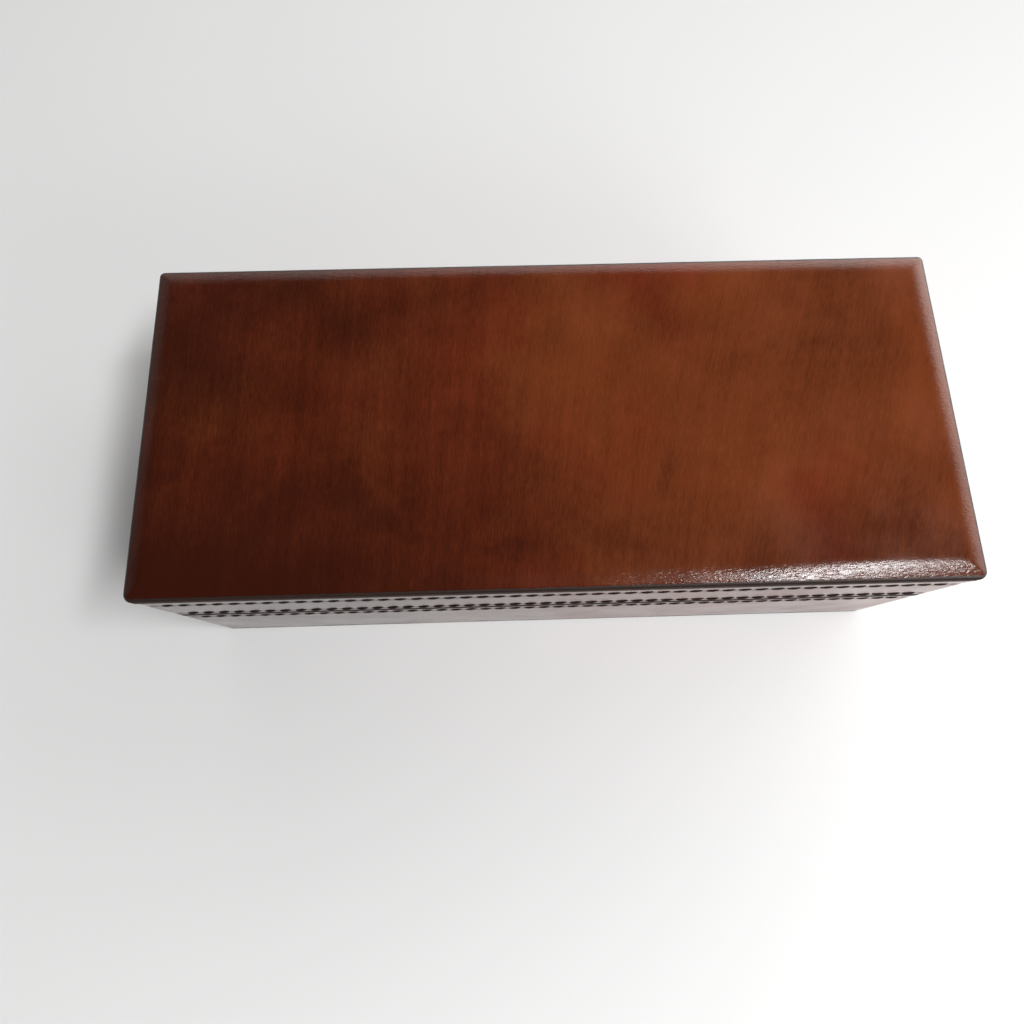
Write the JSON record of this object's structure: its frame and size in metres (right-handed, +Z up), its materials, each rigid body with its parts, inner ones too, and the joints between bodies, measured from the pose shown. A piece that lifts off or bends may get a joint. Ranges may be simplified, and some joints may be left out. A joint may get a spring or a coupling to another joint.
{
  "type": "eyeglasses case",
  "caption": "Hard box-shaped leather eyeglasses case with a stitched lid on a leather hinge, suede lined, held shut by hidden magnets.",
  "frame": {"origin": "middle of the underside, on the surface the case stands on", "axes": "+X along the case, +Z up through the lid; the front, where the lid lifts, faces -Y and the hinge is at +Y"},
  "size_m": [0.1658, 0.0716, 0.051],
  "materials": {
    "glazed_leather": "gloss",
    "thread": "matte",
    "suede": "matte",
    "greyboard": "matte",
    "foam": "matte",
    "magnet_steel": "satin"
  },
  "bodies": {
    "base": {"base_bottom_leather": "glazed_leather", "base_wall_leather": "glazed_leather", "base_bottom_board": "greyboard", "base_front_board": "greyboard", "base_back_board": "greyboard", "base_left_board": "greyboard", "base_right_board": "greyboard", "base_wall_lining": "suede", "base_floor_foam": "foam", "base_floor_lining": "suede", "base_left_magnet": "magnet_steel", "base_right_magnet": "magnet_steel", "base_rim_thread": "thread", "base_seam_thread": "thread", "hinge_leather": "glazed_leather", "hinge_lining": "suede"},
    "lid": {"lid_top_leather": "glazed_leather", "lid_top_filler": "greyboard", "lid_top_board": "greyboard", "lid_front_board": "greyboard", "lid_back_board": "greyboard", "lid_left_board": "greyboard", "lid_right_board": "greyboard", "lid_wall_leather": "glazed_leather", "lid_wall_lining": "suede", "lid_pad_foam": "foam", "lid_pad_lining": "suede", "lid_left_magnet": "magnet_steel", "lid_right_magnet": "magnet_steel", "lid_top_thread": "thread", "lid_rim_thread": "thread", "lid_seam_thread": "thread"}
  },
  "joints": [
    {"name": "lid_hinge", "type": "hinge", "parent": "base", "child": "lid", "pos_m": [0, 0.0355, 0.0298], "axis": [-1, 0, 0], "range_deg": [0, 105], "deforming": ["hinge_leather", "hinge_lining"]}
  ]
}
